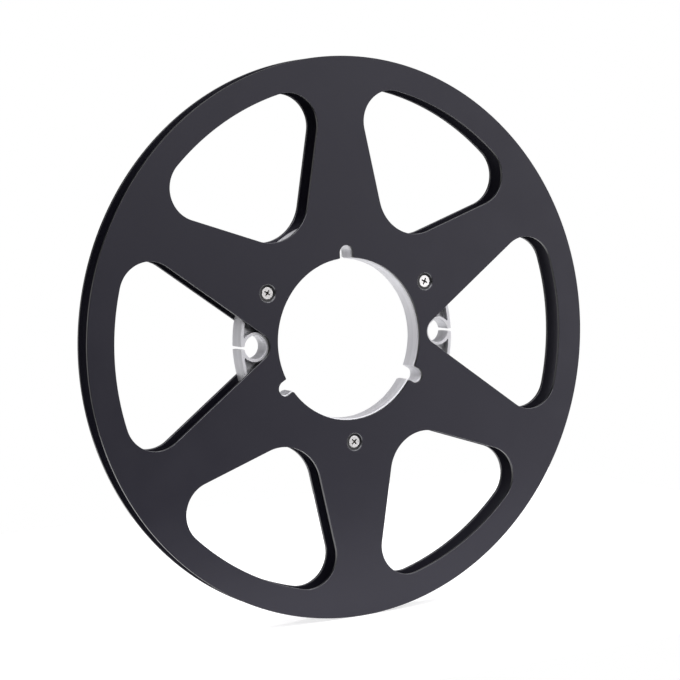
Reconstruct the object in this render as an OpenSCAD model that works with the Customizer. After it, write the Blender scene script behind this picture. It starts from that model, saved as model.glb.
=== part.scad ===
// Ten-and-a-half-inch metal tape reel for quarter-inch tape.
// The reel stands on edge: its axis runs along Y, the front flange faces -Y,
// and the origin is the centre of the bore, midway between the two flanges.
// Each piece is drawn flat, with +X right, +Y up and +Z towards the viewer,
// as the front of the reel is seen, and is then stood up by upright().

/* [Flanges] */
// Outside diameter of both flanges
flange_d = 266.7; // [240:0.1:300]
// Sheet thickness of a flange
flange_t = 1.5; // [1.2:0.1:2.5]
// Bevel on the outer edge of each flange
rim_bevel = 0.15; // [0.1:0.05:0.5]
// How far a flange's opening stands back from the hub's bore and notches
opening_step = 0.45; // [0.3:0.05:1]

/* [Windows] */
// Width of the closed rim outside the windows
window_rim = 13; // [8:0.1:20]
// Radius of the two outer corners of every window
window_corner_r = 15; // [8:0.5:20]
// Distance from the hub to the nose of a wide window
wide_nose_gap = 1.05; // [0.5:0.05:6]
// Radius of the nose of a wide window
wide_nose_r = 20; // [10:0.5:24]
// Angle between a wide window's side and its centre line, in degrees
wide_side_angle = 41; // [30:0.5:42]
// Radius of the nose of a narrow window, which frames a tape anchor
narrow_nose_r = 6.5; // [4:0.5:8]
// Angle between a narrow window's side and its centre line, in degrees
narrow_side_angle = 36.3; // [30:0.1:38]

/* [Hub] */
// Diameter of the surface that the tape winds on
hub_d = 114.3; // [112:0.1:118]
// Width of the hub, which sets the gap between the flanges
hub_w = 8.8; // [8:0.1:16]
// Wall of the hub's outer ring
hub_wall = 1.55; // [1.2:0.05:2.5]
// Diameter of the bore
bore_d = 76.2; // [74:0.1:77]
// Wall of the hub's inner ring
bore_wall = 3.3; // [2.5:0.1:3.6]
// Thickness of the web that joins the two rings, at the middle of the hub's width
web_t = 1.8; // [1:0.1:4]
// Bevel on both edges of the bore
bore_bevel = 0.5; // [0.2:0.05:1]
// Radius of the corners where the hub's ribs meet its rings
rib_corner_r = 2; // [1:0.25:3]

/* [Drive notches] */
// Width of a drive notch
notch_w = 6.35; // [4:0.05:7]
// Distance from the axis to the end of a drive notch
notch_reach = 44.15; // [42.5:0.05:46]
// Radius where a notch opens into the bore
notch_mouth_r = 0.9; // [0.4:0.1:1.2]
// Width of the hub's rib round a notch
notch_rib_w = 13; // [11:0.5:16]

/* [Tape anchors] */
// Diameter of an anchor hole
anchor_d = 11.2; // [9:0.1:11.6]
// Wall round an anchor hole
anchor_wall = 1.35; // [1:0.05:1.5]
// How far the anchor's wall stops inside the surface that the tape winds on
anchor_inset = 0.6; // [0.2:0.05:1]
// Width of the slit that the tape's end passes through
slit_w = 1.3; // [0.8:0.1:3]

/* [Screws] */
// Radius of the circle that the flange screws stand on
screw_at = 49.2; // [48.5:0.1:50.5]
// Diameter of a screw's thread
screw_d = 3; // [2.5:0.1:4]
// Gap in the hub between the tips of a front screw and a rear screw
tip_gap = 0.4; // [0.2:0.1:2]
// Diameter of a screw's flat head
head_d = 5.7; // [5:0.1:6.4]
// Height of the straight edge of a head
head_edge = 0.2; // [0.1:0.05:0.3]
// How deep a head lies below the flange's face
head_sink = 0.6; // [0.5:0.05:0.7]
// Width of the flat step round a head's seat
step_w = 0.85; // [0.3:0.05:1]
// Bevel at the mouth of the step
step_bevel = 0.45; // [0.1:0.05:0.5]
// Width of the hub's rib that holds the screws
screw_rib_w = 10; // [8:0.5:14]
// Length of the cross recess in a head
recess_l = 3.4; // [2:0.1:4]
// Width of an arm of the cross recess
recess_w = 0.7; // [0.4:0.05:1]
// Depth of the cross recess
recess_deep = 1.1; // [0.5:0.05:1.3]

/* [Hidden] */
$fn = 96;
// Overrun of a cut past the face that it opens
over = 1;
// How far a corner's round crosses the two sides that it runs into
crossing = 0.001;
// Angles from +X, as seen from the front
WIDE_WINDOWS = [60, 120, 240, 300];
NARROW_WINDOWS = [0, 180];
NOTCHES = [90, 210, 330];
SCREWS = [30, 150, 270];

flange_r = flange_d / 2;
hub_r = hub_d / 2;
bore_r = bore_d / 2;
total_w = hub_w + 2 * flange_t;
window_r = flange_r - window_rim;
ring_in_r = hub_r - hub_wall;
ring_out_r = bore_r + bore_wall;
boss_r = anchor_d / 2 + anchor_wall;
anchor_at = hub_r - anchor_inset - boss_r;
// The narrow window's nose just clears the anchor's wall
narrow_nose_at = anchor_at - boss_r;
wide_nose_at = hub_r + wide_nose_gap;
opening_r = bore_r + opening_step;
// The seat of a head is a cone at 45 degrees, a head's edge wider than the head
seat_r = head_d / 2 + head_edge;
seat_deep = seat_r - screw_d / 2;
step_r = seat_r + step_w;
screw_l = total_w / 2 - head_sink - tip_gap / 2;

// A point at radius r and angle a
function polar(r, a) = [r * cos(a), r * sin(a)];

// Stands a piece up: what faced +Z now faces -Y
module upright() rotate([90, 0, 0]) children();

// Turns a piece over about the vertical, from the front to the rear
module turned() rotate([0, 180, 0]) children();

// What lies between a corner and the round of radius r about c that fills it.
// The round meets the corner's sides at p and q, and tip is past the corner.
module corner(c, r, p, q, tip)
  difference() {
    polygon([c, p, tip, q]);
    translate(c) circle(r + crossing);
  }

// A window along +X: two straight sides, an arc about the reel's axis,
// a rounded nose and two rounded outer corners
module window(nose_at, nose_r, side) {
  nose = [nose_at + nose_r, 0];
  apex = [nose[0] - nose_r / sin(side), 0];
  // The centre of an outer corner is one corner radius in from side and arc
  start = apex + window_corner_r * polar(1, side - 90);
  along = start * polar(1, side);
  run = sqrt(pow(along, 2) - start * start + pow(window_r - window_corner_r, 2)) - along;
  outer = start + run * polar(1, side);
  difference() {
    intersection() {
      circle(window_r);
      polygon([apex, apex + 2 * window_r * polar(1, -side), apex + 2 * window_r * polar(1, side)]);
    }
    corner(nose, nose_r, nose + nose_r * polar(1, 90 + side), nose - nose_r * polar(1, 90 - side),
      apex - [over, 0]);
    for (s = [-1, 1]) {
      c = [outer[0], s * outer[1]];
      to_arc = atan2(c[1], c[0]);
      to_side = s * (90 + side);
      corner(c, window_corner_r, c + window_corner_r * polar(1, to_side),
        c + window_corner_r * polar(1, to_arc), c + 2 * window_corner_r * polar(1, (to_side + to_arc) / 2));
    }
  }
}

// A drive notch along +X with a round end, open to a bore of radius r
module notch(r, w, reach, mouth_r) {
  translate([reach - w / 2, 0]) circle(d = w);
  translate([0, -w / 2]) square([reach - w / 2, w]);
  side = w / 2 + mouth_r;
  run = sqrt(pow(r + mouth_r, 2) - pow(side, 2));
  for (s = [-1, 1]) {
    c = [run, s * side];
    corner(c, mouth_r, [run, s * w / 2], c * r / (r + mouth_r), [r - over, s * (w / 2 - over)]);
  }
}

// A rib along +X from the hub's inner ring to its outer ring
module rib(w) {
  translate([ring_out_r - over, -w / 2]) square([ring_in_r - ring_out_r + 2 * over, w]);
  side = w / 2 + rib_corner_r;
  // Signs: +1 is the corner at the inner ring, -1 the one at the outer ring
  for (s = [-1, 1], ring = [1, -1]) {
    ring_r = ring > 0 ? ring_out_r : ring_in_r;
    centre_r = ring_r + ring * rib_corner_r;
    c = [sqrt(pow(centre_r, 2) - pow(side, 2)), s * side];
    corner(c, rib_corner_r, [c[0], s * w / 2], c * ring_r / centre_r,
      [ring_r - ring * over, s * (w / 2 - over)]);
  }
}

// The seat of one screw, cut into the face at z = 0
module screw_seat() {
  translate([0, 0, -step_bevel]) cylinder(h = step_bevel + over, r1 = step_r, r2 = step_r + step_bevel + over);
  translate([0, 0, -head_sink]) cylinder(h = head_sink + over, r = step_r);
  translate([0, 0, -head_sink - seat_deep]) cylinder(h = seat_deep, r1 = screw_d / 2, r2 = seat_r);
}

// Three of a piece, one at each screw, on the front face of the reel
module at_screws(angles = SCREWS)
  for (a = angles) rotate(a) translate([screw_at, 0, total_w / 2]) children();

// A flange on the front: a bevelled disc with its opening, windows and seats
module flange() {
  top = total_w / 2;
  low = top - flange_t;
  difference() {
    rotate_extrude()
      polygon([[0, low], [flange_r - rim_bevel, low], [flange_r, low + rim_bevel],
        [flange_r, top - rim_bevel], [flange_r - rim_bevel, top], [0, top]]);
    translate([0, 0, low - over]) cylinder(h = flange_t + 2 * over, r = opening_r);
    translate([0, 0, low - over]) linear_extrude(flange_t + 2 * over) {
      for (a = NOTCHES) rotate(a)
        notch(opening_r, notch_w + 2 * opening_step, notch_reach + opening_step, notch_mouth_r / 2);
      for (a = WIDE_WINDOWS) rotate(a) window(wide_nose_at, wide_nose_r, wide_side_angle);
      for (a = NARROW_WINDOWS) rotate(a) window(narrow_nose_at, narrow_nose_r, narrow_side_angle);
    }
    at_screws() screw_seat();
  }
}

// The hub seen from the front: a disc with its notches, its anchor holes and their slits
module hub_outline()
  difference() {
    circle(hub_r);
    for (a = NARROW_WINDOWS) rotate(a) translate([anchor_at, 0]) {
      circle(d = anchor_d);
      translate([0, -slit_w / 2]) square([hub_r - anchor_at + over, slit_w]);
    }
    for (a = NOTCHES) rotate(a) notch(bore_r, notch_w, notch_reach, notch_mouth_r);
  }

// The pockets between the hub's two rings: what its six ribs and two anchor bosses leave free
module pockets()
  difference() {
    circle(ring_in_r);
    circle(ring_out_r);
    for (a = NOTCHES) rotate(a) rib(notch_rib_w);
    for (a = SCREWS) rotate(a) rib(screw_rib_w);
    for (a = NARROW_WINDOWS) rotate(a) translate([anchor_at, 0]) circle(boss_r);
  }

// What is cut into the hub from its front: the pockets down to the web, the bore's bevel and the seats
module front_cuts() {
  translate([0, 0, web_t / 2]) linear_extrude((hub_w - web_t) / 2 + over) pockets();
  translate([0, 0, hub_w / 2 - bore_bevel])
    cylinder(h = bore_bevel + over, r1 = bore_r, r2 = bore_r + bore_bevel + over);
  at_screws() screw_seat();
}

module hub()
  color([0.76, 0.76, 0.78]) upright() difference() {
    linear_extrude(hub_w, center = true) hub_outline();
    cylinder(h = hub_w + 2 * over, r = bore_r, center = true);
    for (a = SCREWS) rotate(a) translate([screw_at, 0, 0])
      cylinder(h = hub_w + 2 * over, d = screw_d, center = true);
    front_cuts();
    turned() front_cuts();
  }

// A flat-head screw whose head top lies at z = 0
module screw_body()
  difference() {
    union() {
      translate([0, 0, -head_edge]) cylinder(h = head_edge, d = head_d);
      translate([0, 0, -head_edge - (head_d - screw_d) / 2])
        cylinder(h = (head_d - screw_d) / 2, d1 = screw_d, d2 = head_d);
      translate([0, 0, -screw_l]) cylinder(h = screw_l - head_edge, d = screw_d);
    }
    for (a = [0, 90]) rotate(a)
      translate([-recess_l / 2, -recess_w / 2, -recess_deep]) cube([recess_l, recess_w, recess_deep + over]);
  }

// The screw at one angle of the front face; turn is how far its recess is turned
module screw(angle, turn = 0)
  color([0.85, 0.84, 0.82]) at_screws([angle]) translate([0, 0, -head_sink]) rotate(turn - angle) screw_body();

module front_flange() color([0.14, 0.14, 0.16]) upright() flange();
module rear_flange() color([0.14, 0.14, 0.16]) upright() turned() flange();
module front_screw_right() upright() screw(30, 64);
module front_screw_left() upright() screw(150, 55);
module front_screw_bottom() upright() screw(270, 41);
module rear_screw_right() upright() turned() screw(150, 70);
module rear_screw_left() upright() turned() screw(30, 15);
module rear_screw_bottom() upright() turned() screw(270, 33);

front_flange();
rear_flange();
hub();
front_screw_right();
front_screw_left();
front_screw_bottom();
rear_screw_right();
rear_screw_left();
rear_screw_bottom();
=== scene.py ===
# %% [markdown]
# # A tape reel in black and bright aluminium
#
# A ten-and-a-half-inch tape reel is nine pieces: two flanges cut from black anodised sheet, one hub
# turned and milled from bright aluminium, and six small flat-head screws. Nearly everything on it is a
# flat face that ends in an edge, so what makes it look real is the edges. A machinist breaks every edge
# by a fraction of a millimetre, and each broken edge catches the light as a thin line.
#
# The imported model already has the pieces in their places. This lesson makes each one again as a fine
# surface with its edges broken, gives it the finish of the real piece, and lights it like a photograph.

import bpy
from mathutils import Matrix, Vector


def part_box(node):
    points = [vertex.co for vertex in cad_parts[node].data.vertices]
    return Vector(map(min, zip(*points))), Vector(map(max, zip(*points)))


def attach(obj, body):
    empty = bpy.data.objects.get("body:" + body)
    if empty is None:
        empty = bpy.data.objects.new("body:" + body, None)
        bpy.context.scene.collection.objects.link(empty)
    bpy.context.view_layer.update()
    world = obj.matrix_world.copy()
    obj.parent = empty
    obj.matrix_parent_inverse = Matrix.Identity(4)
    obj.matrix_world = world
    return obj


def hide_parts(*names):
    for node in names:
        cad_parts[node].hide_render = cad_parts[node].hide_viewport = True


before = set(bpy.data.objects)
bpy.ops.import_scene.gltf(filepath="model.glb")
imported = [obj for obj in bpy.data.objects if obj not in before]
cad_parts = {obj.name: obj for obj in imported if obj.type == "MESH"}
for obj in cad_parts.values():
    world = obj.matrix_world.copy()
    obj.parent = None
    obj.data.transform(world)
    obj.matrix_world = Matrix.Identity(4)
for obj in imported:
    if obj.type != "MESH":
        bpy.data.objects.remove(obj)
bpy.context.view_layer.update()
print("pieces in the frame:", sorted(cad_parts))

import bpy
import numpy as np
from mathutils import Matrix
from mathutils.geometry import delaunay_2d_cdt

MM = 0.001

# %% [markdown]
# ## Sizes
#
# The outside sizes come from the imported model, so the new surfaces can't drift from it. The sizes that a
# box can't tell, such as the radius of a window's corner, are the real reel's own and are named here.
# Lengths are in millimetres and angles in degrees. In a name, R is a radius, W a width, T a thickness and
# L a length, and AT is a distance from the reel's axis. As the reel is seen from the front, X is to the
# right, Z is up, and the axis runs along Y, away from the viewer.

# %% Sizes of the flanges
flange_low, flange_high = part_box("front_flange")
FLANGE_R = (flange_high.x - flange_low.x) / 2 / MM
FRONT = flange_low.y / MM
FLANGE_T = (flange_high.y - flange_low.y) / MM
WINDOW_RIM = 13.0
WINDOW_CORNER_R = 15.0
WIDE_NOSE_GAP = 1.05
WIDE_NOSE_R = 20.0
WIDE_SIDE = 41.0
NARROW_NOSE_R = 6.5
NARROW_SIDE = 36.3
OPENING_STEP = 0.45
WIDE_WINDOWS = (60, 120, 240, 300)
NARROW_WINDOWS = (0, 180)
print(f"flange {2 * FLANGE_R:.1f} across and {FLANGE_T:.2f} thick, front face at y = {FRONT:.2f}")

# %% Sizes of the hub
hub_low, hub_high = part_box("hub")
HUB_R = (hub_high.x - hub_low.x) / 2 / MM
HUB_W = (hub_high.y - hub_low.y) / MM
HUB_WALL = 1.55
BORE_R = 38.1
BORE_WALL = 3.3
BORE_BEVEL = 0.5
RIB_CORNER_R = 2.0
NOTCH_W = 6.35
NOTCH_REACH = 44.15
NOTCH_MOUTH_R = 0.9
NOTCH_RIB_W = 13.0
SCREW_RIB_W = 10.0
ANCHOR_R = 5.6
ANCHOR_WALL = 1.35
ANCHOR_INSET = 0.6
WEB_T = 1.8
SLIT_W = 1.3
NOTCHES = (90, 210, 330)
BOSS_R = ANCHOR_R + ANCHOR_WALL
ANCHOR_AT = HUB_R - ANCHOR_INSET - BOSS_R
RING_IN_R = HUB_R - HUB_WALL
RING_OUT_R = BORE_R + BORE_WALL
print(f"hub {2 * HUB_R:.1f} across and {HUB_W:.2f} wide, anchor holes at {ANCHOR_AT:.2f} from the axis")

# %% Sizes of the screws
SCREW_AT = 49.2
SCREW_R = 1.5
TIP_GAP = 0.4
THREAD_PITCH = 0.5
THREAD_DEEP = 0.3
HEAD_R = 2.85
HEAD_EDGE = 0.2
HEAD_SINK = 0.6
STEP_W = 0.85
STEP_BEVEL = 0.45
RECESS_L = 3.4
RECESS_W = 0.7
RECESS_DEEP = 1.1
SCREWS = (30, 150, 270)
SEAT_R = HEAD_R + HEAD_EDGE
STEP_R = SEAT_R + STEP_W
SCREW_L = -FRONT - HEAD_SINK - TIP_GAP / 2
print(f"screw heads {2 * HEAD_R:.1f} across, {HEAD_SINK:.1f} below the face")

# %% [markdown]
# ## Outlines from arcs
#
# A machined outline is arcs joined by straight lines that run into them smoothly. So an outline can be
# written as a short list of arcs: centre, radius, start angle and end angle. A straight line needs no
# entry of its own, because it joins the end of one arc to the start of the next.
#
# One rule keeps every outline in order: it runs with the metal on its right. An arc whose angle grows
# bends round open space, so the metal lies outwards along its radius, and an arc whose angle falls bends
# round metal, so the metal lies towards its centre. That gives each point a direction into the metal,
# which is what the edges need.

# %% Trace an outline
SAG = 0.002
SAME_PLACE = 1e-6


def trace(arcs):
    """Points and directions into the metal along a closed outline.

    Each arc is (centre x, centre z, radius, start, end) with angles in degrees. A point is the centre
    plus radius times (cos, sin) of the angle, and the direction is plus or minus (cos, sin): plus where
    the angle grows. The step is chosen so that a chord strays no more than SAG from its arc. A point
    that repeats the one before it, as where one arc runs into the next, is left out.
    """
    points, inward = [], []
    for x, z, radius, start, end in arcs:
        step = 2 * np.degrees(np.arccos(1 - SAG / radius))
        angle = np.radians(np.linspace(start, end, 2 + int(abs(end - start) / step)))
        ray = np.column_stack([np.cos(angle), np.sin(angle)])
        points.append(np.array([x, z]) + radius * ray)
        inward.append(np.sign(end - start) * ray)
    points, inward = np.concatenate(points), np.concatenate(inward)
    fresh = np.linalg.norm(points - np.roll(points, 1, axis=0), axis=1) > SAME_PLACE
    return points[fresh], inward[fresh]


def turned(arcs, angle):
    """The same arcs turned about the reel's axis: centres by a rotation, angles by a sum."""
    a = np.asarray(arcs, float).reshape(-1, 5)
    c, s = np.cos(np.radians(angle)), np.sin(np.radians(angle))
    x, z = c * a[:, 0] - s * a[:, 1], s * a[:, 0] + c * a[:, 1]
    return np.column_stack([x, z, a[:, 2], a[:, 3] + angle, a[:, 4] + angle])


def circle(radius, x=0.0, z=0.0, metal_outside=True):
    """A full circle, with the metal outside it as at a hole, or inside it as at a rim."""
    ends = (0.0, 360.0) if metal_outside else (360.0, 0.0)
    return np.array([[x, z, radius, *ends]])


# %% [markdown]
# ## The windows
#
# A window has two straight sides, a round nose towards the hub, an outer arc about the reel's axis and
# two rounded outer corners. The nose touches both sides, so its centre lies where a circle of its radius
# fits between them. A corner touches a side and the outer arc, so its centre is one corner radius in from
# both: that is a line and a circle crossing, which a square root solves.

# %% A window's arcs
WINDOW_R = FLANGE_R - WINDOW_RIM


def window(nose_at, nose_r, side):
    """Four arcs of a window along +X: lower corner, outer arc, upper corner and nose.

    The sides leave a point on the X axis at plus and minus the side angle. A corner's centre is that
    point moved one corner radius off the side, then run along the side until it is one corner radius
    inside the outer arc.
    """
    t = np.radians(side)
    nose = nose_at + nose_r
    tip = nose - nose_r / np.sin(t)
    along = np.array([np.cos(t), np.sin(t)])
    start = np.array([tip, 0.0]) + WINDOW_CORNER_R * np.array([np.sin(t), -np.cos(t)])
    reach = WINDOW_R - WINDOW_CORNER_R
    run = np.sqrt((start @ along) ** 2 - start @ start + reach**2) - start @ along
    x, z = start + run * along
    out = np.degrees(np.arctan2(z, x))
    r = WINDOW_CORNER_R
    return [
        (x, -z, r, -90 - side, -out),
        (0, 0, WINDOW_R, -out, out),
        (x, z, r, out, 90 + side),
        (nose, 0, nose_r, 90 + side, 270 - side),
    ]


WIDE = window(HUB_R + WIDE_NOSE_GAP, WIDE_NOSE_R, WIDE_SIDE)
NARROW = window(ANCHOR_AT - BOSS_R, NARROW_NOSE_R, NARROW_SIDE)
print(f"a wide window has {len(trace(WIDE)[0])} points, a narrow one {len(trace(NARROW)[0])}")

# %% [markdown]
# ## The notched bore
#
# The machine's three keys enter three notches in the bore. Each notch has straight sides, a round end and
# rounded mouths, where a mouth's arc touches both the bore and the notch's side. The flange's opening has
# the same form, a little larger all round, so one function makes both.

# %% A bore with three notches


def notched_bore(radius, width, reach, mouth_r):
    """The arcs of a bore and its notches, with the open space inside.

    A mouth's centre is half a notch and one mouth radius from the notch's centre line, and one mouth
    radius outside the bore.
    """
    off = width / 2 + mouth_r
    run = np.sqrt((radius + mouth_r) ** 2 - off**2)
    edge = np.degrees(np.arctan2(off, run))
    notch = [
        (run, -off, mouth_r, 180 - edge, 90),
        (reach - width / 2, 0, width / 2, -90, 90),
        (run, off, mouth_r, -90, -180 + edge),
        (0, 0, radius, edge, 360 / len(NOTCHES) - edge),
    ]
    return np.concatenate([turned(notch, a) for a in NOTCHES])


BORE = notched_bore(BORE_R, NOTCH_W, NOTCH_REACH, NOTCH_MOUTH_R)
OPENING = notched_bore(
    BORE_R + OPENING_STEP, NOTCH_W + 2 * OPENING_STEP, NOTCH_REACH + OPENING_STEP, NOTCH_MOUTH_R / 2
)
print(f"the bore's outline has {len(BORE)} arcs")

# %% [markdown]
# ## Edges carried along outlines
#
# The side of a sheet is the same all the way round an outline: flat, over the broken edge, down the wall
# and round to the other face. So it is one small profile carried along the outline. The profile says how
# far each of its points lies into the metal and how deep along the axis, and its corners are rounded.

# %% Round a profile's corners
CORNER_POINTS = 4


def eased(corners):
    """A polyline of (into the metal, depth, radius) with an arc in place of each inner corner.

    For a corner between directions u and v that open by an angle, the arc starts radius / tan(angle / 2)
    before the corner, and its centre lies on the bisector at radius / sin(angle / 2). Its points swing
    from the start ray to the end ray by equal angles, so each weight is the sine of its share of the
    swing over the sine of the whole.
    """
    p = np.asarray(corners, float)
    rows = [p[:1, :2]]
    for before, here, after in zip(p[:-2], p[1:-1], p[2:]):
        u = (before - here)[:2] / np.linalg.norm((before - here)[:2])
        v = (after - here)[:2] / np.linalg.norm((after - here)[:2])
        half = np.arccos(np.clip(u @ v, -1, 1)) / 2
        centre = here[:2] + (u + v) / np.linalg.norm(u + v) * here[2] / np.sin(half)
        first = here[:2] + u * here[2] / np.tan(half) - centre
        last = here[:2] + v * here[2] / np.tan(half) - centre
        swing = np.pi - 2 * half
        k = np.linspace(0, 1, CORNER_POINTS)[:, None]
        rows.append(centre + (np.sin((1 - k) * swing) * first + np.sin(k * swing) * last) / np.sin(swing))
    rows.append(p[-1:, :2])
    return np.concatenate(rows)


# %% Carry a profile along an outline


def carried(arcs, profile):
    """A grid of points: outline point plus the profile's inset times the direction into the metal.

    Rows follow the outline and columns the profile, from the front of the reel to the rear. The result
    is an array of (row, column, x y z).
    """
    points, inward = trace(arcs)
    flat = points[:, None, :] + profile[None, :, :1] * inward[:, None, :]
    depth = np.broadcast_to(profile[None, :, 1], flat.shape[:2])
    return np.stack([flat[..., 0], depth, flat[..., 1]], axis=-1)


def grid_faces(rows, columns, first):
    """Quads of a grid whose last row joins its first: (row, column) and its three neighbours."""
    ids = first + np.arange(rows * columns).reshape(rows, columns)
    after = np.roll(ids, -1, axis=0)
    quads = np.stack([ids[:, :-1], after[:, :-1], after[:, 1:], ids[:, 1:]], axis=-1)
    return quads.reshape(-1, 4)


# %% [markdown]
# ## Flat faces between outlines
#
# A flat face is what lies between its outlines: inside the rim and outside every hole. A constrained
# triangulation joins the outlines' own points with triangles that never cross an outline. It also fills
# the holes, so the triangles whose centres lie in a hole are dropped. A point is inside an outline if a
# line from it crosses that outline an odd number of times.

# %% Fill a flat face
WELD = 1e-7


def crossings(points, loop):
    """How often a line from each point towards +x crosses a closed loop.

    An edge counts if its ends lie above and below the line, and if the place where the line meets it, by
    proportion between its ends, is further along x. A level edge never counts, so its rise may be 1.
    """
    a, b = loop, np.roll(loop, -1, axis=0)
    x, z = points[:, :1], points[:, 1:]
    spans = (a[:, 1] > z) != (b[:, 1] > z)
    rise = b[:, 1] - a[:, 1]
    at = a[:, 0] + (z - a[:, 1]) * (b[:, 0] - a[:, 0]) / np.where(rise == 0, 1, rise)
    return (spans & (at > x)).sum(axis=1)


def flat_face(loops, ids, facing_front):
    """Triangles between loops of (x, z) points, as the numbers of those points in the whole mesh.

    Twice a triangle's area is the cross product of two of its sides, and its sign says which way the
    triangle runs. Those that would face the wrong way are turned.
    """
    points = np.concatenate(loops)
    ends = np.cumsum([len(p) for p in loops])
    following = np.arange(len(points)) + 1
    following[ends - 1] = ends - [len(p) for p in loops]
    edges = np.column_stack([np.arange(len(points)), following])
    made = delaunay_2d_cdt(points.tolist(), edges.tolist(), [], 0, WELD)
    at, triangles = np.array(made[0]), np.array(made[2])
    origin = np.array([o[0] for o in made[3]])
    middle = at[triangles].mean(axis=1)
    inside = sum(crossings(middle, loop) for loop in loops) % 2 == 1
    triangles = triangles[inside]
    a, b, c = at[triangles[:, 0]], at[triangles[:, 1]], at[triangles[:, 2]]
    area = (b[:, 0] - a[:, 0]) * (c[:, 1] - a[:, 1]) - (b[:, 1] - a[:, 1]) * (c[:, 0] - a[:, 0])
    wrong = (area > 0) != facing_front
    triangles[wrong] = triangles[wrong][:, ::-1]
    return ids[origin[triangles]]


# %% Put a surface into a mesh


def piece(name, points, smooth_faces, flat_faces, finishes, finish_of_smooth=None):
    """A Blender object from points in millimetres, its smooth faces, its flat faces and its finishes.

    The flat faces get the first finish, and so do the smooth ones, unless each one's finish is given.
    """
    mesh = bpy.data.meshes.new(name)
    mesh.from_pydata((points * MM).tolist(), [], [list(f) for f in [*smooth_faces, *flat_faces]])
    plain = [0] * len(flat_faces)
    mesh.polygons.foreach_set("use_smooth", np.array([1] * len(smooth_faces) + plain, bool))
    for each in finishes:
        mesh.materials.append(each)
    if finish_of_smooth is not None:
        mesh.polygons.foreach_set("material_index", np.array([*finish_of_smooth, *plain], np.int32))
    mesh.validate()
    mesh.update()
    made = bpy.data.objects.new(name, mesh)
    bpy.context.scene.collection.objects.link(made)
    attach(made, "root")
    print(f"{name}: {len(mesh.vertices)} points, {len(mesh.polygons)} faces")
    return made


def shell(outlines, flats):
    """Points and faces of a closed surface: walls carried along outlines, and flat faces between them.

    outlines is a list of (arcs, profile), and each gives a grid of wall quads. flats is a list of (faces
    the front, [(outline number, end), ...]), where end 0 is a wall's first edge and -1 its last. Each
    entry is one flat face, with all the edges that bound it.
    """
    points, quads, numbers, grids, first = [], [], [], [], 0
    for arcs, profile in outlines:
        grid = carried(arcs, profile)
        rows, columns = grid.shape[:2]
        grids.append(grid)
        numbers.append(first + np.arange(rows * columns).reshape(rows, columns))
        quads.append(grid_faces(rows, columns, first))
        points.append(grid.reshape(-1, 3))
        first += rows * columns
    fills = []
    for facing_front, edges in flats:
        loops = [grids[k][:, end][:, [0, 2]] for k, end in edges]
        ids = np.concatenate([numbers[k][:, end] for k, end in edges])
        fills.append(flat_face(loops, ids, facing_front))
    return np.concatenate(points), np.concatenate(quads), np.concatenate(fills)


# %% [markdown]
# ## Finishes
#
# Six finishes cover the reel. Black anodising is a dyed, glassy skin on aluminium: nearly black in
# itself, so what the eye sees is the soft mirror of the studio on it. It is finely blasted first, which
# makes that mirror soft. The cut edges of the sheet carry the same dye on smoother metal. Where fingers
# and screw heads rub, at the windows' broken edges and the bevels of the screws' seats, the skin is thin
# and some metal shows through. The hub is bare bright aluminium from a lathe, with fine lines that run
# round it. The screws are nickel plated. Their recesses are scuffed, and the plating there is coloured
# dark for dirt and painted shade in the recess.
#
# Each finish is built from a few nodes that read Object coordinates, so a pattern stays where it is on
# the piece from every side. The lines on the hub follow its axis: on a turned surface the tool leaves a
# groove at each place along Y, so the pattern changes fast along Y and very slowly across it.

# %% Nodes of a finish
NOISE_LOW, NOISE_HIGH = 0.3, 0.7
RANGE_ENDS = ("From Min", "From Max", "To Min", "To Max")


def finish(name, metallic):
    """A new material, its Principled shader and its Object coordinates."""
    material = bpy.data.materials.new(name)
    material.use_nodes = True
    nodes = material.node_tree.nodes
    shader = nodes["Principled BSDF"]
    shader.inputs["Metallic"].default_value = metallic
    return material, shader, nodes.new("ShaderNodeTexCoord").outputs["Object"]


def follow(shader, key, output):
    """Let a socket of the shader follow another node's output."""
    shader.id_data.links.new(output, shader.inputs[key])


def grain(material, place, scale, stretch=(1, 1, 1), detail=2.0):
    """Noise of so many cycles per metre, with its coordinates scaled along each axis."""
    nodes, links = material.node_tree.nodes, material.node_tree.links
    mapping = nodes.new("ShaderNodeMapping")
    mapping.inputs["Scale"].default_value = stretch
    links.new(place, mapping.inputs["Vector"])
    noise = nodes.new("ShaderNodeTexNoise")
    noise.inputs["Scale"].default_value = scale
    noise.inputs["Detail"].default_value = detail
    links.new(mapping.outputs["Vector"], noise.inputs["Vector"])
    return noise.outputs["Fac"]


def spread(material, value, low, high):
    """Noise, most of which lies between NOISE_LOW and NOISE_HIGH, moved to run from low to high."""
    node = material.node_tree.nodes.new("ShaderNodeMapRange")
    for key, number in zip(RANGE_ENDS, (NOISE_LOW, NOISE_HIGH, low, high)):
        node.inputs[key].default_value = number
    material.node_tree.links.new(value, node.inputs["Value"])
    return node.outputs["Result"]


def tinted(material, value, dark, light):
    """A colour between two, as far along as the noise lies between NOISE_LOW and NOISE_HIGH."""
    ramp = material.node_tree.nodes.new("ShaderNodeValToRGB")
    stops = zip(ramp.color_ramp.elements, (NOISE_LOW, NOISE_HIGH), (dark, light))
    for stop, position, colour in stops:
        stop.position = position
        stop.color = (*colour, 1)
    material.node_tree.links.new(value, ramp.inputs["Fac"])
    return ramp.outputs["Color"]


def raised(material, shader, value, height, under=None):
    """Bump of a height in millimetres; it may lie over another bump."""
    bump = material.node_tree.nodes.new("ShaderNodeBump")
    bump.inputs["Strength"].default_value = 1.0
    bump.inputs["Distance"].default_value = height * MM
    material.node_tree.links.new(value, bump.inputs["Height"])
    if under is not None:
        material.node_tree.links.new(under, bump.inputs["Normal"])
    follow(shader, "Normal", bump.outputs["Normal"])
    return bump.outputs["Normal"]


# %% Black anodising


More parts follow.
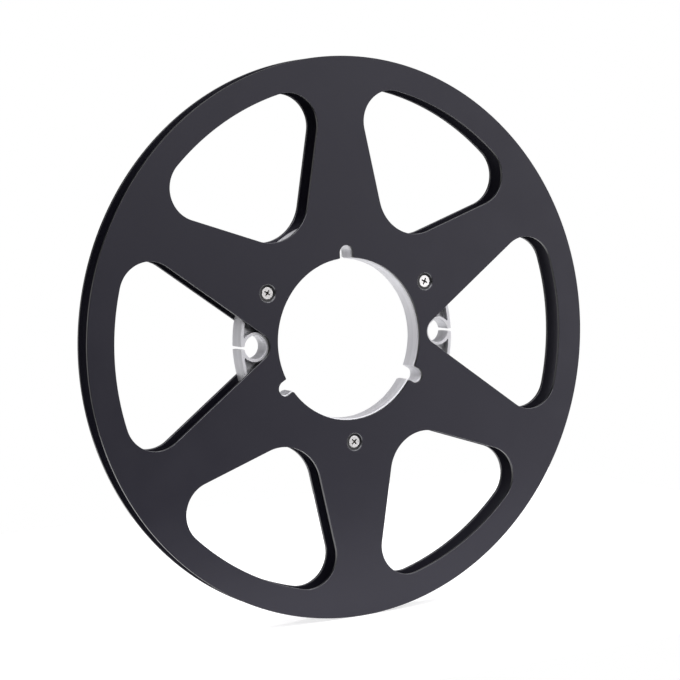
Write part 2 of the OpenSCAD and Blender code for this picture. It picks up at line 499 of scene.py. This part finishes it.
def black_anodised():
    """Dyed skin on blasted sheet: near black with a cool sheen, satin, with a very fine grain."""
    material, shader, place = finish("black_anodised", metallic=0.0)
    shader.inputs["Specular Tint"].default_value = (0.91, 0.89, 1.0, 1)
    cloud = grain(material, place, 22)
    follow(shader, "Base Color", tinted(material, cloud, (0.0080, 0.0076, 0.0135), (0.0090, 0.0086, 0.0150)))
    follow(shader, "Roughness", spread(material, grain(material, place, 60), 0.34, 0.39))
    raised(material, shader, grain(material, place, 5200, detail=3.0), height=0.0025)
    return material


def black_cut_edge():
    """The sheet's cut edge under the same dye: smooth enough to mirror the floor at a low angle."""
    material, shader, place = finish("black_cut_edge", metallic=0.0)
    shader.inputs["Roughness"].default_value = 0.3
    drag = grain(material, place, 900, stretch=(0.25, 1, 0.25))
    follow(shader, "Base Color", tinted(material, drag, (0.004, 0.004, 0.005), (0.007, 0.007, 0.009)))
    raised(material, shader, drag, height=0.006)
    return material


def worn_edge():
    """A rubbed edge, where the skin is thin and some metal shows through: a dark grey mirror."""
    material, shader, place = finish("worn_edge", metallic=0.6)
    rub = grain(material, place, 350)
    follow(shader, "Base Color", tinted(material, rub, (0.09, 0.09, 0.10), (0.16, 0.16, 0.17)))
    follow(shader, "Roughness", spread(material, grain(material, place, 900), 0.20, 0.30))
    return material


BLACK = black_anodised()
BLACK_EDGE = black_cut_edge()
WORN_EDGE = worn_edge()
print("finishes so far:", BLACK.name, BLACK_EDGE.name, WORN_EDGE.name)

# %% Turned aluminium


def turned_aluminium():
    """Bare aluminium from the lathe: grooves that change along Y, and a slow cloud over them."""
    material, shader, place = finish("turned_aluminium", metallic=0.85)
    fine = grain(material, place, 1500, stretch=(0.012, 1, 0.012), detail=3.0)
    broad = grain(material, place, 420, stretch=(0.01, 1, 0.01), detail=1.0)
    follow(shader, "Base Color", tinted(material, broad, (0.69, 0.69, 0.71), (0.75, 0.75, 0.77)))
    follow(shader, "Roughness", spread(material, grain(material, place, 90), 0.57, 0.65))
    under = raised(material, shader, broad, height=0.01)
    raised(material, shader, fine, height=0.004, under=under)
    return material


BRIGHT = turned_aluminium()
print("finish:", BRIGHT.name)

# %% Nickel plate


def nickel_plate():
    """Bright plating on steel: a warm white mirror, a little clouded."""
    material, shader, place = finish("nickel_plate", metallic=1.0)
    cloud = grain(material, place, 700)
    follow(shader, "Base Color", tinted(material, cloud, (0.79, 0.78, 0.77), (0.88, 0.87, 0.86)))
    follow(shader, "Roughness", spread(material, grain(material, place, 1800), 0.22, 0.32))
    raised(material, shader, cloud, height=0.008)
    return material


def recess_shade_plate():
    """The plating inside the recess: scuffed by the driver, and coloured dark for dirt and painted shade."""
    material, shader, place = finish("recess_shade_plate", metallic=0.8)
    shader.inputs["Roughness"].default_value = 0.5
    scuff = grain(material, place, 2500)
    # The dark colour is painted shade for the depth of the recess, with some dirt.
    follow(shader, "Base Color", tinted(material, scuff, (0.13, 0.12, 0.11), (0.24, 0.23, 0.21)))
    raised(material, shader, scuff, height=0.01)
    return material


NICKEL, RECESS_SHADE = nickel_plate(), recess_shade_plate()
print("finishes:", NICKEL.name, RECESS_SHADE.name)

# %% [markdown]
# ## The flanges
#
# Each flange is a sheet with a rim, six windows, an opening and three screw seats. The rim and the windows
# get the same edge, broken by a fraction of a millimetre, and the opening gets a finer one. A seat is a
# bevel, a short wall, a flat step and the upper part of a cone, and it too is a profile carried round a
# circle. The rear flange is the front one turned over about the upright axis, but for one thing: the
# wall of its opening is bare metal, as bright as the bore beside it.
#
# Every profile begins and ends with a narrow strip of the flat face. The strips are shaded smoothly with
# the edge, and the flat faces between them stay truly flat.

# %% The edge of the sheet and the seat of a screw
INNER = FRONT + FLANGE_T
BROKEN = 0.12
SHEET_STRIP = 0.1
SEAT_STRIP = 0.3
CONE_STRIP = 0.4
CONE_AT_INNER = SEAT_R - (FLANGE_T - HEAD_SINK)


def mirrored(front_half, middle):
    """A profile from its front half: the rear half is its mirror image about a middle depth."""
    rear_half = [(inset, 2 * middle - depth, r) for inset, depth, r in reversed(front_half)]
    return eased(front_half + rear_half)


def sheet_edge(broken, soft):
    """The side of the sheet: flat, broken edge, cut wall, broken edge, flat, with soft corners."""
    front_half = [(broken + SHEET_STRIP, FRONT, 0), (broken, FRONT, soft), (0, FRONT + broken, soft)]
    return mirrored(front_half, middle=(FRONT + INNER) / 2)


SHEET_EDGE = sheet_edge(BROKEN, soft=0.03)
OPENING_EDGE = sheet_edge(broken=0.05, soft=0.015)
SEAT = eased(
    [
        (STEP_BEVEL + SEAT_STRIP, FRONT, 0),
        (STEP_BEVEL, FRONT, 0.06),
        (0, FRONT + STEP_BEVEL, 0.06),
        (0, FRONT + HEAD_SINK, 0.05),
        (SEAT_R - STEP_R, FRONT + HEAD_SINK, 0.04),
        (CONE_AT_INNER - STEP_R, INNER, 0.02),
        (CONE_AT_INNER - STEP_R + CONE_STRIP, INNER, 0),
    ]
)
print(f"the edge of the sheet has {len(SHEET_EDGE)} points across, a seat {len(SEAT)}")


# %% Both flanges
ON_FACE = 0.001
NEAR_HOLE = 1.0


def polar(radius, angle):
    """x and z of a point at a radius and an angle about the axis."""
    return radius * np.cos(np.radians(angle)), radius * np.sin(np.radians(angle))


def turned_over(points):
    """The same points with the front at the rear: half a turn about the upright axis."""
    return points * [-1, -1, 1]


def flange_outlines():
    """Rim, windows, opening and seats, each with its profile."""
    rim = [(circle(FLANGE_R, metal_outside=False), SHEET_EDGE)]
    wide = [(turned(WIDE, a), SHEET_EDGE) for a in WIDE_WINDOWS]
    narrow = [(turned(NARROW, a), SHEET_EDGE) for a in NARROW_WINDOWS]
    seats = [(circle(STEP_R, *polar(SCREW_AT, a)), SEAT) for a in SCREWS]
    return rim + wide + narrow + [(OPENING, OPENING_EDGE)] + seats


def finish_of_walls(points, faces):
    """For each face 0 if it is flat, 1 if a rubbed edge, 2 if another cut and 3 if the opening's wall.

    A face is sorted by its middle: by its depth, its distance from the nearest screw's axis and its
    distance from the reel's own axis. The rubbed edges are the seats' bevels and the windows' broken
    edges.
    """
    x, depth, z = points[faces].mean(axis=1).T
    seats = np.array([polar(SCREW_AT, a) for a in SCREWS])
    to_seat = np.hypot(x[:, None] - seats[:, 0], z[:, None] - seats[:, 1]).min(axis=1)
    at_seat = to_seat < STEP_R + STEP_BEVEL
    from_face = np.minimum(depth - FRONT, INNER - depth)
    cut = from_face > ON_FACE
    seat_bevel = at_seat & (to_seat > STEP_R) & (depth < FRONT + STEP_BEVEL)
    opening = ~at_seat & (np.hypot(x, z) < NOTCH_REACH + NEAR_HOLE)
    at_window = ~at_seat & ~opening & (np.hypot(x, z) < WINDOW_R + NEAR_HOLE)
    rubbed = seat_bevel | (at_window & (from_face < BROKEN))
    return np.select([cut & rubbed, cut & opening, cut], [1, 3, 2], 0)


outlines = flange_outlines()
every = range(len(outlines))
flats = [(True, [(k, 0) for k in every]), (False, [(k, -1) for k in every])]
points, quads, fills = shell(outlines, flats)
walls = finish_of_walls(points, quads)
sheets = (("front_flange", points, BLACK_EDGE), ("rear_flange", turned_over(points), BRIGHT))
for name, at, opening_wall in sheets:
    finishes = [BLACK, WORN_EDGE, BLACK_EDGE, opening_wall]
    made = piece(name + "_sheet", at, quads, fills, finishes, walls)
    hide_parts(name)

# %% [markdown]
# ## The hub
#
# The hub is one piece: an inner ring with the notched bore, an outer ring that the tape winds on, and six
# ribs between them. At each side a round boss grows from the outer ring, bored through and slit towards
# the outside. The tape's end goes through the slit and is held in the hole. Because of the slits, the
# outer surface and both anchor holes are one single outline.

# %% The outer surface with its two anchors
LIP_R = 0.25


def anchor_outline():
    """Half of the outer outline, from the left slit over the top to the right slit and round its hole.

    A lip's centre lies one lip radius off the slit's side, and one lip radius inside the outer surface
    or outside the hole.
    """
    off = SLIT_W / 2 + LIP_R
    outer_x = np.sqrt((HUB_R - LIP_R) ** 2 - off**2)
    inner_x = ANCHOR_AT + np.sqrt((ANCHOR_R + LIP_R) ** 2 - off**2)
    at_outer = np.degrees(np.arctan2(off, outer_x))
    at_inner = np.degrees(np.arctan2(off, inner_x - ANCHOR_AT))
    return [
        (0, 0, HUB_R, 180 - at_outer, at_outer),
        (outer_x, off, LIP_R, at_outer, -90),
        (inner_x, off, LIP_R, -90, -180 + at_inner),
        (ANCHOR_AT, 0, ANCHOR_R, at_inner, 360 - at_inner),
        (inner_x, -off, LIP_R, 180 - at_inner, 90),
        (outer_x, -off, LIP_R, 90, -at_outer),
    ]


OUTER = np.concatenate([turned(anchor_outline(), a) for a in (0, 180)])

# %% [markdown]
# The pockets between the ribs are outlines too. A rib's corner is an arc that touches the rib's side and
# a ring, like a notch's mouth turned inside out. Where a boss stands in a pocket, the outer ring's arc
# stops at it, a small arc turns the corner, and the outline goes round the boss.

# %% The pockets
BOSS_CORNER_R = 0.4


def rib_corner(width, ring_r, ring):
    """Centre and angle of a rib's corner; ring is 1 at the inner ring and -1 at the outer ring."""
    off = width / 2 + RIB_CORNER_R
    run = np.sqrt((ring_r + ring * RIB_CORNER_R) ** 2 - off**2)
    return run, off, np.degrees(np.arctan2(off, run))


def boss_arcs():
    """The way round a boss on +X: a corner, the boss and a corner, and where the ring's arc stops.

    A corner's centre is one corner radius inside the ring and one outside the boss, so it is where two
    circles cross.
    """
    far, near = RING_IN_R - BOSS_CORNER_R, BOSS_R + BOSS_CORNER_R
    x = (far**2 - near**2 + ANCHOR_AT**2) / (2 * ANCHOR_AT)
    z = np.sqrt(far**2 - x**2)
    ring_angle = np.degrees(np.arctan2(z, x))
    boss_angle = np.degrees(np.arctan2(z, x - ANCHOR_AT))
    arcs = [
        (x, -z, BOSS_CORNER_R, -ring_angle, 180 - boss_angle),
        (ANCHOR_AT, 0, BOSS_R, 360 - boss_angle, boss_angle),
        (x, z, BOSS_CORNER_R, 180 + boss_angle, 360 + ring_angle),
    ]
    return arcs, ring_angle


def pocket(start, start_w, end, end_w, boss_at=None):
    """A pocket from the rib at one angle to the rib at the next, with the open space inside."""
    first = [rib_corner(start_w, r, s) for r, s in ((RING_OUT_R, 1), (RING_IN_R, -1))]
    last = [rib_corner(end_w, r, s) for r, s in ((RING_OUT_R, 1), (RING_IN_R, -1))]
    r = RIB_CORNER_R
    (fx, fo, fa), (gx, go, ga) = first
    (lx, lo, la), (mx, mo, ma) = last
    at_start = turned([(fx, fo, r, 180 + fa, 270), (gx, go, r, 270, 360 + ga)], start)
    at_end = turned([(mx, -mo, r, -ma, 90), (lx, -lo, r, 90, 180 - la)], end)
    inner = [(0, 0, RING_OUT_R, end - la, start + fa)]
    if boss_at is None:
        ring = [(0, 0, RING_IN_R, start + ga, end - ma)]
    else:
        arcs, stop = boss_arcs()
        ring = np.concatenate(
            [
                [(0, 0, RING_IN_R, start + ga, boss_at - stop)],
                turned(arcs, boss_at),
                [(0, 0, RING_IN_R, boss_at + stop, end - ma)],
            ]
        )
    return np.concatenate([at_start, ring, at_end, inner])


POCKETS = [
    pocket(-30, NOTCH_RIB_W, 30, SCREW_RIB_W, boss_at=0),
    pocket(30, SCREW_RIB_W, 90, NOTCH_RIB_W),
    pocket(90, NOTCH_RIB_W, 150, SCREW_RIB_W),
    pocket(150, SCREW_RIB_W, 210, NOTCH_RIB_W, boss_at=180),
    pocket(210, NOTCH_RIB_W, 270, SCREW_RIB_W),
    pocket(270, SCREW_RIB_W, 330, NOTCH_RIB_W),
]
print("pockets:", len(POCKETS), "with", [len(trace(p)[0]) for p in POCKETS], "points")

# %% The hub's profiles and its surface
HUB_FRONT = -HUB_W / 2
HUB_STRIP = 0.16
BORE_STRIP = 0.04
FLOOR_STRIP = 0.32
BREAK_R = 0.12
FLOOR_R = 0.25
TAP_FLARE = CONE_AT_INNER - SCREW_R


def flared(bevel, strip, soft):
    """The profile of a hole through the hub with a bevel at each end, as wide as it is deep."""
    front_half = [(bevel + strip, HUB_FRONT, 0), (bevel, HUB_FRONT, 0.03), (0, HUB_FRONT + bevel, soft)]
    return mirrored(front_half, middle=0)


PLAIN_EDGE = mirrored([(HUB_STRIP, HUB_FRONT, 0), (0, HUB_FRONT, BREAK_R)], middle=0)
BORE_EDGE = flared(BORE_BEVEL, BORE_STRIP, soft=0.15)
TAP_EDGE = flared(TAP_FLARE, SEAT_STRIP, soft=0.05)
POCKET_WALL = eased(
    [
        (HUB_STRIP, HUB_FRONT, 0),
        (0, HUB_FRONT, BREAK_R),
        (0, -WEB_T / 2, FLOOR_R),
        (-FLOOR_STRIP, -WEB_T / 2, 0),
    ]
)
through = [(OUTER, PLAIN_EDGE), (BORE, BORE_EDGE)]
through += [(circle(SCREW_R, *polar(SCREW_AT, a)), TAP_EDGE) for a in SCREWS]
front_pockets = [(p, POCKET_WALL) for p in POCKETS]
rear_pockets = [(p, POCKET_WALL[::-1] * [1, -1]) for p in POCKETS]
outlines = through + front_pockets + rear_pockets
at_through, at_front, at_rear = np.split(np.arange(len(outlines)), np.cumsum([len(through), len(POCKETS)]))
flats = [(True, [(k, 0) for k in [*at_through, *at_front]])]
flats += [(False, [(k, -1) for k in [*at_through, *at_rear]])]
flats += [(True, [(k, -1)]) for k in at_front]
flats += [(False, [(k, 0)]) for k in at_rear]
points, quads, fills = shell(outlines, flats)
hub = piece("hub_turned", points, quads, fills, [BRIGHT])
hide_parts("hub")

# %% [markdown]
# ## The screws
#
# A screw is turned, so it is a profile swept round its own axis: radius and depth over a grid of rings and
# spokes. Two things break the roundness, and both are formulas on that grid. The cross recess presses the
# top down by a depth that depends on where a point lies against the cross's two arms, and the thread makes
# the radius rise and fall along a helix.

# %% The recess in a screw's head
ARM_WIDE, ARM_TAPER = 1.15, 0.25
ARM_RISE = 0.55
WALL_LEAN, END_LEAN = 0.1, 0.12
CENTRE_R, CENTRE_SLOPE = 0.784, 1.6


def ease(x):
    """Runs from 0 to 1 with level ends as x does: 3x squared minus 2x cubed."""
    x = np.clip(x, 0, 1)
    return x * x * (3 - 2 * x)


def recess_depth(x, z):
    """Depth of a cross recess: deepest in the middle, with arms that rise and narrow outwards.

    Along an arm the floor rises in proportion to the distance from the middle, the walls lean a little,
    and the larger of the two arms' depths counts. Round the middle a cup joins the arms.
    """
    deep = np.zeros_like(x)
    for along, across in ((x, z), (z, x)):
        reach = np.abs(along) / (RECESS_L / 2)
        width = RECESS_W / 2 * (ARM_WIDE - ARM_TAPER * reach)
        floor = RECESS_DEEP * (1 - ARM_RISE * np.clip(reach, 0, 1))
        side = ease((width - np.abs(across)) / WALL_LEAN)
        end = ease((1 - reach) * RECESS_L / 2 / END_LEAN)
        deep = np.maximum(deep, floor * side * end)
    cup = ease((1 - np.hypot(x, z) / CENTRE_R) * CENTRE_SLOPE)
    return np.maximum(deep, RECESS_DEEP * cup)


# %% The surface of a screw
SPOKES = 144
TOP_RINGS, BRIM_RINGS, EDGE_RINGS, CONE_RINGS, THREAD_RINGS = 46, 6, 6, 8, 64
CENTRE_HOLE_R = 0.02
TOP_R = RECESS_L / 2 + 0.2
BRIM_R = RECESS_L / 2 + 0.3
HEAD_ROUND = 0.12
BRIM_END = 0.16
TIP_BEVEL = 0.3
THREAD_START, THREAD_GROWTH = 0.1, 0.4
RECESS_SHADE_FROM = 0.1


def screw_surface():
    """Points and quads of a screw about the Y axis, with the top of its head at y = 0.

    The rings run from the middle of the head out to its edge, down the cone and along the thread. There
    the radius is the crest's less the thread's depth times a triangle wave, whose phase is the depth over
    the pitch less the share of a turn. It grows from nothing to its full depth over THREAD_GROWTH.
    """
    bend = np.linspace(0, np.pi / 2, EDGE_RINGS)
    neck = HEAD_EDGE + HEAD_R - SCREW_R
    start = neck + THREAD_START
    parts = [
        (np.linspace(CENTRE_HOLE_R, TOP_R, TOP_RINGS), np.zeros(TOP_RINGS)),
        (np.linspace(BRIM_R, HEAD_R - BRIM_END, BRIM_RINGS), np.zeros(BRIM_RINGS)),
        (HEAD_R - HEAD_ROUND * (1 - np.sin(bend)), HEAD_ROUND * (1 - np.cos(bend))),
        (np.linspace(HEAD_R, SCREW_R, CONE_RINGS), np.linspace(HEAD_EDGE, neck, CONE_RINGS)),
        (np.full(THREAD_RINGS, SCREW_R), np.linspace(start, SCREW_L - TIP_BEVEL, THREAD_RINGS)),
        ([SCREW_R - TIP_BEVEL, CENTRE_HOLE_R], [SCREW_L, SCREW_L]),
    ]
    radius, depth = (np.concatenate(each) for each in zip(*parts))
    angle = np.linspace(0, 2 * np.pi, SPOKES, endpoint=False)[:, None]
    along = np.broadcast_to(depth, (SPOKES, len(depth)))
    phase = along / THREAD_PITCH - angle / (2 * np.pi)
    wave = np.abs(2 * (phase - np.floor(phase)) - 1)
    cutting = ease((along - start) / THREAD_GROWTH) * (along < SCREW_L)
    r = radius - THREAD_DEEP * wave * cutting
    x, z = r * np.cos(angle), r * np.sin(angle)
    y = along + np.where(along == 0, recess_depth(x, z), 0)
    grid = np.stack([x, y, z], axis=-1)
    return grid.reshape(-1, 3), grid_faces(SPOKES, len(depth), 0)[:, ::-1], len(depth)


def closed_ends(quads, rings):
    """The quads, and the two small faces that close the first and the last ring."""
    spokes = np.arange(SPOKES) * rings
    return list(quads) + [spokes, (spokes + rings - 1)[::-1]]


SHAPE, SHAPE_QUADS, RINGS = screw_surface()
SHAPE_FACES = closed_ends(SHAPE_QUADS, RINGS)
on_top = np.arange(len(SHAPE_QUADS)) % (RINGS - 1) < TOP_RINGS - 1
# Faces this deep in the head take the recess's finish, which carries painted shade.
in_shaded_recess = on_top & (SHAPE[SHAPE_QUADS][:, :, 1].mean(axis=1) > RECESS_SHADE_FROM)
SHAPE_FINISH = [*in_shaded_recess.astype(int), 1, 0]
print(f"a screw has {len(SHAPE)} points in {RINGS} rings, {in_shaded_recess.sum()} faces in its recess")

# %% All six screws
# Where each screw is round the axis, how far its recess is turned, and whether it is at the rear
SCREW_PLACES = {
    "front_screw_right": (30, 64, False),
    "front_screw_left": (150, 55, False),
    "front_screw_bottom": (270, 41, False),
    "rear_screw_right": (150, 70, True),
    "rear_screw_left": (30, 15, True),
    "rear_screw_bottom": (270, 33, True),
}


def screw(name, angle, recess_turn, rear):
    """One screw in its seat: turned by its recess's angle and moved, and for the rear turned over."""
    c, s = np.cos(np.radians(recess_turn)), np.sin(np.radians(recess_turn))
    x, z = c * SHAPE[:, 0] - s * SHAPE[:, 2], s * SHAPE[:, 0] + c * SHAPE[:, 2]
    at_x, at_z = polar(SCREW_AT, angle)
    at = np.column_stack([x + at_x, SHAPE[:, 1] + FRONT + HEAD_SINK, z + at_z])
    if rear:
        at = turned_over(at)
    made = piece(name + "_body", at, SHAPE_FACES, [], [NICKEL, RECESS_SHADE], SHAPE_FINISH)
    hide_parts(name)


for name, (angle, recess_turn, rear) in SCREW_PLACES.items():
    screw(name, angle, recess_turn, rear)

# %% [markdown]
# ## The studio
#
# Black gloss shows only what it mirrors, so the studio matters more than the reel's own colour. There are
# no lamps. The room itself glows, softly and in a few wide patches, while the camera sees plain white
# behind the reel. What the front faces mirror lies in front of the reel and to its right: that part of the
# room falls off slowly, which gives the faces their soft change of tone. The high glows light the hub
# through the windows. Behind the reel the room is darker, which keeps the rims dark against the white.
#
# The floor is a pale grey sheet that glows evenly, like a light table. The glow makes it look white, and
# it fills the reel's shadow, so that hardly any of it is left.

# %% The floor
FLOOR_LOW = (-300.0, -130.0)
FLOOR_HIGH = (330.0, 330.0)
FLOOR_GLOW = 0.6


def plain_floor():
    """A matt sheet under the reel: pale grey with the faintest cloud, made white by an even glow."""
    (x0, y0), (x1, y1), z = FLOOR_LOW, FLOOR_HIGH, -FLANGE_R
    corners = np.array([(x0, y0, z), (x1, y0, z), (x1, y1, z), (x0, y1, z)])
    material, shader, place = finish("white_floor", metallic=0.0)
    shader.inputs["Roughness"].default_value = 0.8
    cloud = grain(material, place, 3)
    follow(shader, "Base Color", tinted(material, cloud, (0.59, 0.59, 0.59), (0.61, 0.61, 0.61)))
    shader.inputs["Emission Color"].default_value = (1, 1, 1, 1)
    shader.inputs["Emission Strength"].default_value = FLOOR_GLOW
    mesh = bpy.data.meshes.new("floor")
    mesh.from_pydata((corners * MM).tolist(), [], [(0, 1, 2, 3)])
    mesh.materials.append(material)
    made = bpy.data.objects.new("floor", mesh)
    bpy.context.scene.collection.objects.link(made)
    return made


floor = plain_floor()

# %% The room's light
# Azimuth and elevation of the middle in degrees, angle of the full core, angle of the edge, strength
GLOWS = {
    "right wall, high": (95, 50, 10, 40, 1.7),
    "right wall, low": (80, 5, 10, 40, 1.2),
    "left wall, high": (-95, 50, 10, 40, 2.9),
    "front left, high": (-46, 54, 10, 35, 1.35),
    "front right, high": (35, 42, 10, 35, 2.15),
    "ceiling": (0, 90, 8, 35, 0.5),
    "front, upper": (20, 14, 4, 18, 2.05),
    "front right, lower": (41, -4, 2, 15, 2.45),
    "back left": (-150, -2, 4, 22, 0.95),
    "back right": (160, 24, 4, 22, 0.45),
}


def ray(azimuth, elevation):
    """The direction at an azimuth from the front of the reel towards its right, and an elevation."""
    az, el = np.radians([azimuth, elevation])
    return np.array([np.sin(az) * np.cos(el), -np.cos(az) * np.cos(el), np.sin(el)])


def room():
    """A room whose brightness depends on direction: the sum of its glows, and white to the camera.

    A glow's share is the cosine of the angle from its middle, moved from (edge, core) to (0, strength)
    with soft ends.
    """
    world = bpy.data.worlds.new("room")
    bpy.context.scene.world = world
    world.use_nodes = True
    nodes, links = world.node_tree.nodes, world.node_tree.links
    nodes.clear()
    place = nodes.new("ShaderNodeTexCoord").outputs["Generated"]
    unit = nodes.new("ShaderNodeVectorMath")
    unit.operation = "NORMALIZE"
    links.new(place, unit.inputs[0])
    total = None
    for azimuth, elevation, core, edge, strength in GLOWS.values():
        dot = nodes.new("ShaderNodeVectorMath")
        dot.operation = "DOT_PRODUCT"
        dot.inputs[1].default_value = ray(azimuth, elevation)
        links.new(unit.outputs["Vector"], dot.inputs[0])
        fall = nodes.new("ShaderNodeMapRange")
        fall.interpolation_type = "SMOOTHSTEP"
        ends = (np.cos(np.radians(edge)), np.cos(np.radians(core)), 0, strength)
        for key, number in zip(RANGE_ENDS, ends):
            fall.inputs[key].default_value = number
        links.new(dot.outputs["Value"], fall.inputs["Value"])
        if total is None:
            total = fall.outputs["Result"]
        else:
            add = nodes.new("ShaderNodeMath")
            add.operation = "ADD"
            links.new(total, add.inputs[0])
            links.new(fall.outputs["Result"], add.inputs[1])
            total = add.outputs["Value"]
    lit = nodes.new("ShaderNodeBackground")
    lit.inputs["Color"].default_value = (0.99, 0.98, 1.0, 1)
    links.new(total, lit.inputs["Strength"])
    seen = nodes.new("ShaderNodeBackground")
    seen.inputs["Color"].default_value = (1, 1, 1, 1)
    mix = nodes.new("ShaderNodeMixShader")
    links.new(nodes.new("ShaderNodeLightPath").outputs["Is Camera Ray"], mix.inputs["Fac"])
    links.new(lit.outputs["Background"], mix.inputs[1])
    links.new(seen.outputs["Background"], mix.inputs[2])
    links.new(mix.outputs["Shader"], nodes.new("ShaderNodeOutputWorld").inputs["Surface"])
    print("glows:", ", ".join(GLOWS))


room()

# %% [markdown]
# ## The camera
#
# The camera stands a little to the left of the reel and a little above its axis. Its place, its roll and
# its focal length were found by matching the reel's rims, windows and bore to the photograph. A lens is
# described here by its focal length in pixels of a picture 680 pixels wide, which the sensor's width
# turns into millimetres.

# %% The camera's place
PICTURE = 680
SENSOR = 36.0
FOCAL_PIXELS = 2007.0
AZIMUTH, ELEVATION, ROLL = -29.024, 4.920, -2.534
DISTANCE = 951.62
AIM = np.array([-5.652, FRONT, -0.035])


def camera():
    """Looks at the aim from a distance, along the ray at its azimuth and elevation, and then rolls.

    The roll mixes the camera's right and up by its cosine and sine.
    """
    roll = np.radians(ROLL)
    place = np.array([0, FRONT, 0]) + DISTANCE * ray(AZIMUTH, ELEVATION)
    forward = (AIM - place) / np.linalg.norm(AIM - place)
    right = np.cross(forward, (0, 0, 1))
    right /= np.linalg.norm(right)
    up = np.cross(right, forward)
    right, up = np.cos(roll) * right + np.sin(roll) * up, np.cos(roll) * up - np.sin(roll) * right
    lens = bpy.data.cameras.new("camera")
    lens.sensor_width = SENSOR
    lens.lens = FOCAL_PIXELS / PICTURE * SENSOR
    lens.clip_start = 0.01
    turn = np.eye(4)
    turn[:3, 0], turn[:3, 1], turn[:3, 2], turn[:3, 3] = right, up, -forward, place * MM
    made = bpy.data.objects.new("camera", lens)
    made.matrix_world = Matrix(turn.tolist())
    bpy.context.scene.collection.objects.link(made)
    bpy.context.scene.camera = made
    print(f"camera at {np.round(place)} mm with a lens of {lens.lens:.1f} mm")


camera()
bpy.context.scene.view_settings.view_transform = "Standard"
